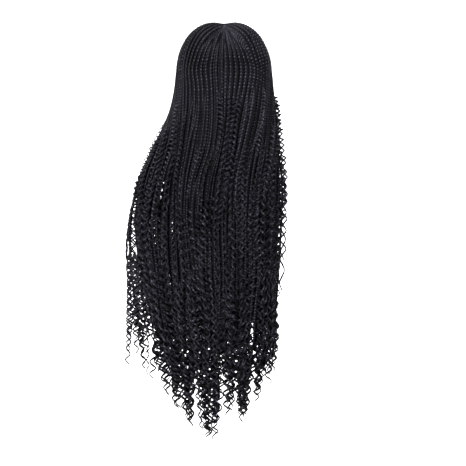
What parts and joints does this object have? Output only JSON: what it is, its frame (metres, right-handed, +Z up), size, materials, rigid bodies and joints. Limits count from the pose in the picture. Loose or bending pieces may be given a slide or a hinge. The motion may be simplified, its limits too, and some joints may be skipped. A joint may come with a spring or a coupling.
{
  "type": "braid wig",
  "caption": "Long black wig of narrow box braids with curly ends, on a stretch cap with a centre part, shown as it hangs when worn.",
  "frame": {"origin": "the inside of the cap's crown, where the wig sits on the top of the head", "axes": "+Z up, +Y the way the wearer looks, +X towards the wearer's right"},
  "size_m": [0.2984, 0.2347, 0.8172],
  "materials": {
    "cap_net": "matte stretch net",
    "elastic": "matte woven elastic",
    "braid_hair": "synthetic hair fibre, soft sheen",
    "under_hair": "synthetic hair fibre, soft sheen"
  },
  "bodies": {
    "root": {"cap": "cap_net", "edge_band": "elastic", "under_braids_left": "under_hair", "under_braids_right": "under_hair", "nape_braids": "under_hair", "braid_left_01": "braid_hair", "braid_left_02": "braid_hair", "braid_left_03": "braid_hair", "braid_left_04": "braid_hair", "braid_left_05": "braid_hair", "braid_left_06": "braid_hair", "braid_left_07": "braid_hair", "braid_left_08": "braid_hair", "braid_left_09": "braid_hair", "braid_left_10": "braid_hair", "braid_left_11": "braid_hair", "braid_left_12": "braid_hair", "braid_left_13": "braid_hair", "braid_left_14": "braid_hair", "braid_left_15": "braid_hair", "braid_left_16": "braid_hair", "braid_left_17": "braid_hair", "braid_left_18": "braid_hair", "braid_left_19": "braid_hair", "braid_left_20": "braid_hair", "braid_right_01": "braid_hair", "braid_right_02": "braid_hair", "braid_right_03": "braid_hair", "braid_right_04": "braid_hair", "braid_right_05": "braid_hair", "braid_right_06": "braid_hair", "braid_right_07": "braid_hair", "braid_right_08": "braid_hair", "braid_right_09": "braid_hair", "braid_right_10": "braid_hair", "braid_right_11": "braid_hair", "braid_right_12": "braid_hair", "braid_right_13": "braid_hair", "braid_right_14": "braid_hair", "braid_right_15": "braid_hair", "braid_right_16": "braid_hair", "braid_right_17": "braid_hair", "braid_right_18": "braid_hair", "braid_right_19": "braid_hair", "braid_right_20": "braid_hair"}
  },
  "joints": []
}
